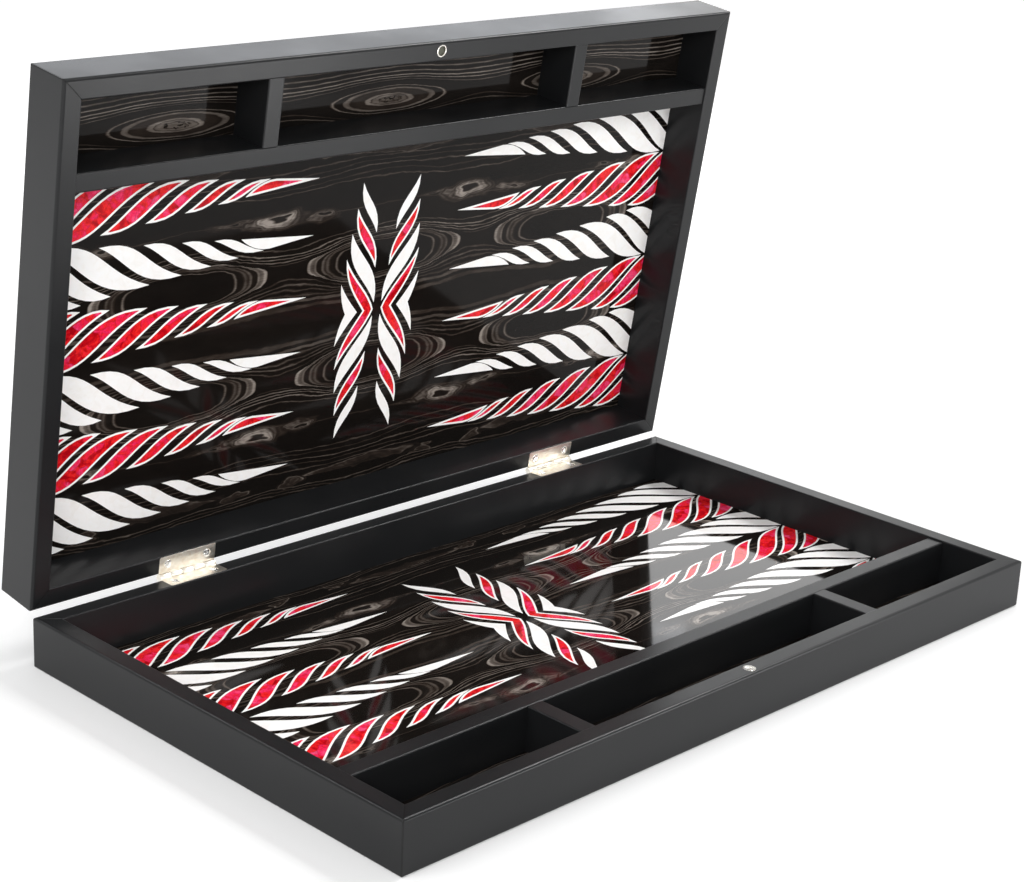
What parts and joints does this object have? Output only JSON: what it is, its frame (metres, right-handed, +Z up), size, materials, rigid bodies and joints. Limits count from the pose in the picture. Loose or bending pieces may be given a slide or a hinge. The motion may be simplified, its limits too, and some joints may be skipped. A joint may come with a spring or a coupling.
{
  "type": "backgammon board",
  "caption": "Hinged two-part wooden game board with striped pearl inlays, divided checker trays and a folding lid.",
  "frame": {"origin": "middle of the base's underside", "axes": "+X along the hinges towards the right side, +Y from the tray side back to the hinges, +Z up"},
  "size_m": [0.48, 0.3116, 0.3134],
  "materials": {
    "black_lacquer": "satin black lacquer on fibreboard",
    "fibreboard": "bare board",
    "dark_veneer": "dark veneer under high gloss lacquer",
    "white_pearl": "pearl white under high gloss lacquer",
    "red_pearl": "mottled pearl red under high gloss lacquer",
    "hinge_nickel": "warm nickel plate",
    "screw_nickel": "bright nickel plate",
    "bright_nickel": "bright nickel plate",
    "magnet_grey": "dull dark metal"
  },
  "bodies": {
    "base": {"base_front_rail": "black_lacquer", "base_hinge_rail": "black_lacquer", "base_left_rail": "black_lacquer", "base_right_rail": "black_lacquer", "base_panel_board": "fibreboard", "base_outer_veneer": "dark_veneer", "base_play_veneer": "dark_veneer", "base_white_points": "white_pearl", "base_red_points": "red_pearl", "base_red_borders": "white_pearl", "base_white_ornament": "white_pearl", "base_red_ornament": "red_pearl", "base_tray_rail": "black_lacquer", "base_left_divider": "black_lacquer", "base_right_divider": "black_lacquer", "base_left_hinge_leaf": "hinge_nickel", "base_right_hinge_leaf": "hinge_nickel", "base_hinge_screws": "screw_nickel", "base_magnet": "bright_nickel", "left_hinge_pin": "hinge_nickel", "right_hinge_pin": "hinge_nickel"},
    "lid": {"lid_front_rail": "black_lacquer", "lid_hinge_rail": "black_lacquer", "lid_left_rail": "black_lacquer", "lid_right_rail": "black_lacquer", "lid_panel_board": "fibreboard", "lid_outer_veneer": "dark_veneer", "lid_play_veneer": "dark_veneer", "lid_white_points": "white_pearl", "lid_red_points": "red_pearl", "lid_red_borders": "white_pearl", "lid_white_ornament": "white_pearl", "lid_red_ornament": "red_pearl", "lid_tray_rail": "black_lacquer", "lid_left_divider": "black_lacquer", "lid_right_divider": "black_lacquer", "lid_left_hinge_leaf": "hinge_nickel", "lid_right_hinge_leaf": "hinge_nickel", "lid_hinge_screws": "screw_nickel", "lid_magnet_cup": "bright_nickel", "lid_magnet": "magnet_grey"}
  },
  "joints": [
    {"name": "lid_hinge", "type": "hinge", "parent": "base", "child": "lid", "pos_m": [0, 0.143, 0.02835], "axis": [-1, 0, 0], "range_deg": [-82, 98]}
  ]
}
